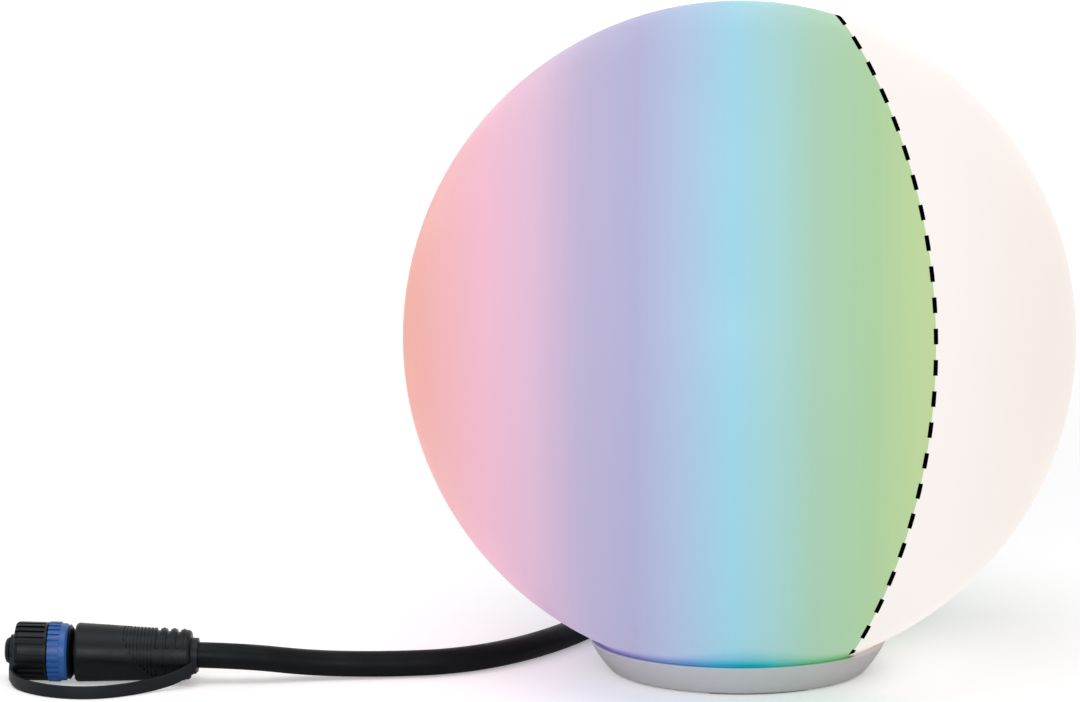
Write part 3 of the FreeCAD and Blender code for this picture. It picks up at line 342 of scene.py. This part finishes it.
def plastic(name, colour, worn, roughness, specular=0.3, gloss=(1.0, 1.0, 1.0)):
    """Moulded plastic or rubber: fine grain, cloudy gloss and pale scuffs."""
    look = Look(name, paint(*colour), roughness, specular=specular)
    look.shader.inputs["Specular Tint"].default_value = (*gloss, 1.0)
    scuffs = look.noise(700.0, 6.0, 0.7, (1, 1, 3))
    look.tint(look.between(scuffs, 0.58, 0.8, 0.0, 0.35), paint(*worn))
    look.roughen(look.noise(90.0, 4.0), roughness - 0.07, roughness + 0.1)
    look.bump(look.noise(2600.0, 2.0), 0.00004)
    return look.material


def metal(name, colour, worn, roughness, brush):
    """Bare metal with dull streaks, drawn out along the axis where brush is below 1."""
    look = Look(name, paint(*colour), roughness, metallic=1.0)
    streaks = look.noise(500.0, 5.0, 0.6, brush)
    look.tint(look.between(streaks, 0.45, 0.75, 0.0, 0.4), paint(*worn))
    look.roughen(streaks, roughness - 0.08, roughness + 0.12)
    look.bump(streaks, 0.00002)
    return look.material


def heights(name):
    """Lowest and highest point of a CAD node."""
    levels = [corner[2] for corner in nodes[name].bound_box]
    return min(levels), max(levels)


GLOBE_RADIUS = 0.1
MOUTH_HEIGHT, GLOBE_TOP = heights("globe_shell")
GLOBE_CENTRE_Z = GLOBE_TOP - GLOBE_RADIUS
RIM_HEIGHT = heights("globe_seal")[0]
LEDGE_DEPTH = 0.0003           # of the casting below its rim, where the painted light and painted shade of the globe's colours fade in

# The dashed border is an arc in a plane that leans back, so that it faces the camera.
BORDER_TILT = math.radians(9.5)
BORDER_ACROSS = -0.1352        # its centre, from the globe's
BORDER_UP = -0.0035
BORDER_RADIUS = 0.1913
BORDER_HALF_WIDTH = 0.00065
DASH_PITCH = 0.00892
DASH_MIDDLE = 0.0039
DASH_HALF_LENGTH = 0.00225

GLOW_STRENGTH = 0.73
LIT_SHARE = 0.23               # share of the colour that the lights of the room show
OPAL_SPECULAR = 0.1

# Painted shade: near the mouth the colour is deeper and darker, most of all in the middle. Lengths are
# in metres.
DEEP_MIDDLE = 0.003
DEEP_HALF_WIDTH = 0.03
DEEP_HEIGHT = 0.003
DEEP_HEIGHT_GAIN = 0.006
DEEP_SHARE = 0.55
DEEP_SHARE_GAIN = 0.45
DEEP_FADE = 1.6
DEEP_SATURATION = 2.3

BAND_WAVER = 0.004
WAVER_SCALE = 420.0
RAINBOW = [                    # place across the globe, in millimetres, and colour
    (-97.0, (245, 176, 164)),
    (-86.0, (246, 185, 188)),
    (-74.0, (245, 190, 210)),
    (-60.0, (228, 191, 217)),
    (-46.0, (193, 182, 214)),
    (-30.0, (180, 179, 215)),
    (-17.0, (177, 196, 227)),
    (-2.0, (160, 214, 233)),
    (10.0, (168, 213, 214)),
    (22.0, (170, 210, 185)),
    (38.0, (175, 211, 164)),
    (52.0, (194, 218, 160)),
]
WARM_WHITE = (255, 248, 244)
CREAM_WHITE = (254, 243, 237)
WHITE_DRIFT = (0.05, 0.1)      # from where to where warm white turns to cream


class LitPlastic(Look):
    """Material lit by the lamp inside: bands of colour left of a border arc, warm white right of it."""

    def __init__(self, name, roughness, specular):
        super().__init__(name, paint(*WARM_WHITE), roughness, specular=specular)
        split = self.node("ShaderNodeSeparateXYZ")
        self.feed(split.inputs[0], self.place)
        self.x, self.y, self.z = split.outputs

    def bands(self):
        """The rainbow across the globe, with a slight waver."""
        low, high = RAINBOW[0][0], RAINBOW[-1][0]
        waver = self.math("SUBTRACT", self.noise(WAVER_SCALE, 2.0, 0.5, (1, 0, 0)), 0.5)
        across = self.math("ADD", self.x, self.math("MULTIPLY", waver, BAND_WAVER))
        ramp = self.node("ShaderNodeValToRGB")
        self.feed(ramp.inputs["Fac"], self.even_share(across, low * MM, high * MM))
        stops = ramp.color_ramp.elements
        for place, colour in RAINBOW[1:-1]:
            stop = stops.new((place - low) / (high - low))
            stop.color = paint(*colour)
        stops[0].color = paint(*RAINBOW[0][1])
        stops[-1].color = paint(*RAINBOW[-1][1])
        return ramp.outputs["Color"]

    def field(self):
        """The two sides' colours, the way past the border arc and the way along it."""
        raised = self.math("SUBTRACT", self.z, GLOBE_CENTRE_Z)
        up = self.math("ADD", self.math("MULTIPLY", raised, math.cos(BORDER_TILT)),
                       self.math("MULTIPLY", self.y, math.sin(BORDER_TILT)))
        from_x = self.math("SUBTRACT", self.x, BORDER_ACROSS)
        from_up = self.math("SUBTRACT", up, BORDER_UP)
        reach = self.math("SQRT", self.math("ADD", self.math("MULTIPLY", from_x, from_x),
                                            self.math("MULTIPLY", from_up, from_up)))
        beyond = self.math("SUBTRACT", reach, BORDER_RADIUS)
        run = self.math("MULTIPLY", self.math("ARCTAN2", from_up, from_x), BORDER_RADIUS)
        white = self.blend(self.between(self.x, *WHITE_DRIFT), paint(*WARM_WHITE), paint(*CREAM_WHITE))
        return self.blend(self.math("GREATER_THAN", beyond, 0.0), self.bands(), white), beyond, run

    def deepen_as_painted_shade(self, colour, height, value):
        """Painted shade: deeper, darker colour towards the mouth, strongest and highest in the middle.
        """
        aside = self.math("ABSOLUTE", self.math("SUBTRACT", self.x, DEEP_MIDDLE))
        peak = self.math("SUBTRACT", 1.0, self.between(aside, 0.0, DEEP_HALF_WIDTH))
        reach = self.math("ADD", self.math("MULTIPLY", peak, DEEP_HEIGHT_GAIN), DEEP_HEIGHT)
        raised = self.math("DIVIDE", self.math("SUBTRACT", height, MOUTH_HEIGHT), reach)
        near = self.math("MAXIMUM", self.math("MINIMUM", self.math("SUBTRACT", 1.0, raised), 1.0), 0.0)
        most = self.math("ADD", self.math("MULTIPLY", peak, DEEP_SHARE_GAIN), DEEP_SHARE)
        deep = self.node("ShaderNodeHueSaturation")
        deep.inputs["Saturation"].default_value = DEEP_SATURATION
        deep.inputs["Value"].default_value = value
        self.feed(deep.inputs["Color"], colour)
        share = self.math("MULTIPLY", self.math("POWER", near, DEEP_FADE), most)
        return self.blend(share, colour, deep.outputs["Color"])

    def glow(self, colour):
        """Most of the colour shines, and the lights of the room show the rest."""
        self.feed(self.shader.inputs["Base Color"], self.blend(LIT_SHARE, paint(0, 0, 0), colour))
        self.feed(self.shader.inputs["Emission Color"], colour)
        self.shader.inputs["Emission Strength"].default_value = GLOW_STRENGTH


def casting():
    """Painted die casting: fine orange peel, dull patches, and on its ledge the globe's colours as
    painted light, darkened as painted shade.
    """
    look = LitPlastic("grey_casting", 0.42, 0.3)
    patches = look.between(look.noise(35.0, 4.0), 0.45, 0.8, 0.0, 0.3)
    side = look.blend(patches, paint(201, 199, 200), paint(188, 188, 190))
    # Painted light and painted shade on the ledge: the globe's colours, deepened and darkened, mixed
    # with grey.
    painted_glow_and_shade = look.blend(0.4, look.deepen_as_painted_shade(look.field()[0], MOUTH_HEIGHT, 0.85), paint(150, 154, 158))
    ledge = look.between(look.z, RIM_HEIGHT - LEDGE_DEPTH, RIM_HEIGHT)
    look.feed(look.shader.inputs["Base Color"], look.blend(ledge, side, painted_glow_and_shade))
    look.roughen(look.noise(160.0, 3.0), 0.36, 0.5)
    look.bump(look.noise(1500.0, 2.0), 0.00003)
    return look.material


def opal():
    """Lit opal plastic with a black dashed border between its two sides."""
    look = LitPlastic("opal_globe", 0.42, OPAL_SPECULAR)
    field, beyond, run = look.field()
    from_dash = look.math("PINGPONG", look.math("SUBTRACT", run, DASH_MIDDLE), DASH_PITCH / 2)
    dash = look.math("MULTIPLY", look.math("LESS_THAN", from_dash, DASH_HALF_LENGTH),
                     look.math("LESS_THAN", look.math("ABSOLUTE", beyond), BORDER_HALF_WIDTH))
    # Painted shade on the glow near the mouth: deeper and darker colour there.
    look.glow(look.blend(dash, look.deepen_as_painted_shade(field, look.z, 0.72), paint(3, 3, 4)))
    shine = look.math("MULTIPLY", look.math("SUBTRACT", 1.0, dash), OPAL_SPECULAR)
    look.feed(look.shader.inputs["Specular IOR Level"], shine)
    look.roughen(look.noise(40.0, 3.0), 0.38, 0.48)
    look.bump(look.noise(1800.0, 2.0), 0.00002)
    return look.material


def silicone():
    """Clear seal at the rim with a painted glow of the globe's colours, deepened and darkened as
    painted shade.
    """
    look = LitPlastic("clear_silicone", 0.35, 0.2)
    field = look.field()[0]
    # Painted glow: the seal shines with the globe's colours, with painted shade.
    look.glow(look.deepen_as_painted_shade(field, MOUTH_HEIGHT, 0.6))
    look.roughen(look.noise(300.0), 0.3, 0.45)
    look.bump(look.noise(900.0, 2.0), 0.00003)
    return look.material


def circuit():
    """Green solder mask with lighter copper tracks."""
    look = Look("circuit_board", paint(18, 74, 44), 0.35)
    grid = look.node("ShaderNodeTexBrick")
    grid.inputs["Scale"].default_value = 260.0
    grid.inputs["Mortar Size"].default_value = 0.03
    look.feed(grid.inputs["Vector"], look.place)
    look.tint(look.math("MULTIPLY", grid.outputs["Fac"], 0.7), paint(60, 130, 82))
    look.roughen(look.noise(200.0), 0.3, 0.45)
    look.bump(grid.outputs["Fac"], 0.00005)
    return look.material


def frosted():
    """Frosted plastic of the dome, with a little light under its surface."""
    look = Look("frosted_dome", paint(244, 244, 240), 0.5, specular=0.4)
    look.shader.inputs["Subsurface Weight"].default_value = 0.3
    look.shader.inputs["Subsurface Scale"].default_value = 0.002
    look.roughen(look.noise(120.0), 0.45, 0.6)
    look.bump(look.noise(1400.0, 2.0), 0.00003)
    return look.material


def led_resin():
    """Yellow resin with paler clouds."""
    look = Look("led_resin", paint(250, 214, 96), 0.25)
    look.tint(look.between(look.noise(900.0), 0.4, 0.7, 0.0, 0.4), paint(252, 232, 150))
    look.roughen(look.noise(600.0), 0.2, 0.35)
    look.bump(look.noise(1500.0, 2.0), 0.00002)
    return look.material


COOL = (0.84, 0.93, 1.0)
BLACKS = {                     # colour, worn colour, roughness, specular level
    "black_rubber": ((16, 18, 21), (46, 49, 54), 0.45, 0.22),
    "cable_rubber": ((10, 11, 12), (30, 32, 35), 0.45, 0.12),
    "black_plastic": ((6, 7, 9), (30, 33, 38), 0.36, 0.2),
}
PLASTICS = {                   # colour, worn colour, roughness
    "core_insulation": ((132, 44, 36), (160, 80, 70), 0.4),
    "white_plastic": ((228, 228, 224), (205, 204, 198), 0.45),
    "ferrite": ((52, 50, 50), (90, 86, 84), 0.6),
    "terminal_plastic": ((40, 96, 60), (80, 130, 96), 0.45),
    "white_board": ((236, 236, 232), (215, 214, 208), 0.35),
    "carrier_plastic": ((60, 62, 66), (95, 97, 100), 0.45),
}
METALS = {                     # colour, worn colour, roughness, brush
    "screw_steel": ((188, 190, 194), (140, 142, 146), 0.3, (1, 1, 1)),
    "capacitor_can": ((196, 198, 202), (150, 152, 158), 0.25, (1, 1, 0.05)),
    "radio_can": ((180, 182, 182), (120, 122, 124), 0.35, (0.1, 1, 1)),
    "bare_aluminium": ((206, 208, 210), (160, 163, 166), 0.32, (0.05, 1, 1)),
    "pin_metal": ((214, 178, 96), (176, 140, 72), 0.25, (1, 1, 1)),
}
LOOKS = {
    "opal_globe": opal(),
    "clear_silicone": silicone(),
    "grey_casting": casting(),
    "circuit_board": circuit(),
    "frosted_dome": frosted(),
    "led_resin": led_resin(),
    "blue_plastic": plastic("blue_plastic", (32, 84, 150), (76, 124, 186), 0.38, specular=0.35),
}
for name, row in BLACKS.items():
    LOOKS[name] = plastic(name, *row, gloss=COOL)
for name, row in PLASTICS.items():
    LOOKS[name] = plastic(name, *row)
for name, row in METALS.items():
    LOOKS[name] = metal(name, *row)


def dress_nodes():
    """Gives each carried-over CAD node the material of its slot."""
    for part in frame["record"]["subparts"]:
        materials = nodes[part["node"]].data.materials
        materials.clear()
        materials.append(LOOKS[part["material_slot"]])


dress_nodes()
cable.data.materials.append(LOOKS["cable_rubber"])
strap.data.materials.append(LOOKS["black_rubber"])


# ---- floor and light ----------------------------------------------------------------------
FLOOR_REACH = 8.0
LIFT_DISTANCES = (0.25, 1.6)   # from the middle: the camera sees the floor paler further out
LIFT_AMOUNTS = (0.3, 0.85)
WORLD_LIGHT = 0.5
WORLD_SEEN = 1.0               # also in mirrors and through clear pieces


def make_floor():
    """Pale paper that keeps the soft shadow near the light and fades into the backdrop."""
    mesh = bpy.data.meshes.new("floor")
    corners = [(x * FLOOR_REACH, y * FLOOR_REACH, 0) for x, y in ((-1, -1), (1, -1), (1, 1), (-1, 1))]
    mesh.from_pydata(corners, [], [(0, 1, 2, 3)])
    floor = bpy.data.objects.new("floor", mesh)
    bpy.context.scene.collection.objects.link(floor)
    look = Look("floor_paper", paint(240, 240, 240), 0.8, specular=0.1)
    look.tint(look.between(look.noise(3.0), 0.3, 0.7, 0.0, 0.5), paint(236, 236, 237))
    paths = look.node("ShaderNodeLightPath")
    away = look.node("ShaderNodeVectorMath", operation="LENGTH")
    look.feed(away.inputs[0], look.place)
    lift = look.between(away.outputs["Value"], *LIFT_DISTANCES, *LIFT_AMOUNTS)
    seen = look.math("MULTIPLY", paths.outputs["Is Camera Ray"], lift)
    look.feed(look.shader.inputs["Emission Strength"], seen)
    look.shader.inputs["Emission Color"].default_value = (1, 1, 1, 1)
    mesh.materials.append(look.material)


def make_world():
    """White surroundings that light the object less than the camera sees them."""
    world = bpy.data.worlds.new("studio")
    bpy.context.scene.world = world
    world.use_nodes = True
    tree = world.node_tree
    background = tree.nodes["Background"]
    background.inputs["Color"].default_value = (1, 1, 1, 1)
    paths = tree.nodes.new("ShaderNodeLightPath")
    shown = paths.outputs["Is Camera Ray"]
    for name in ("Is Glossy Ray", "Is Transmission Ray"):
        larger = tree.nodes.new("ShaderNodeMath")
        larger.operation = "MAXIMUM"
        tree.links.new(shown, larger.inputs[0])
        tree.links.new(paths.outputs[name], larger.inputs[1])
        shown = larger.outputs[0]
    strength = tree.nodes.new("ShaderNodeMapRange")
    strength.inputs["To Min"].default_value = WORLD_LIGHT
    strength.inputs["To Max"].default_value = WORLD_SEEN
    tree.links.new(shown, strength.inputs["Value"])
    tree.links.new(strength.outputs["Result"], background.inputs["Strength"])


def area_light(name, place, target, size, power):
    """Softbox at a place, aimed at a target, with its size in metres and its power in watts."""
    data = bpy.data.lights.new(name, "AREA")
    data.shape = "RECTANGLE"
    data.size, data.size_y = size
    data.energy = power
    light = bpy.data.objects.new(name, data)
    light.location = place
    light.rotation_euler = (Vector(target) - Vector(place)).to_track_quat("-Z", "Y").to_euler()
    bpy.context.scene.collection.objects.link(light)


make_floor()
make_world()
area_light("top_softbox", place=(-0.3, -0.4, 1.5), target=(-0.05, 0, 0.05), size=(1.4, 0.9), power=9.0)
area_light("front_softbox", place=(-0.15, -1.8, 0.5), target=(0, 0, 0.04), size=(1.2, 0.5), power=13.0)

bpy.context.scene.view_settings.view_transform = "Standard"
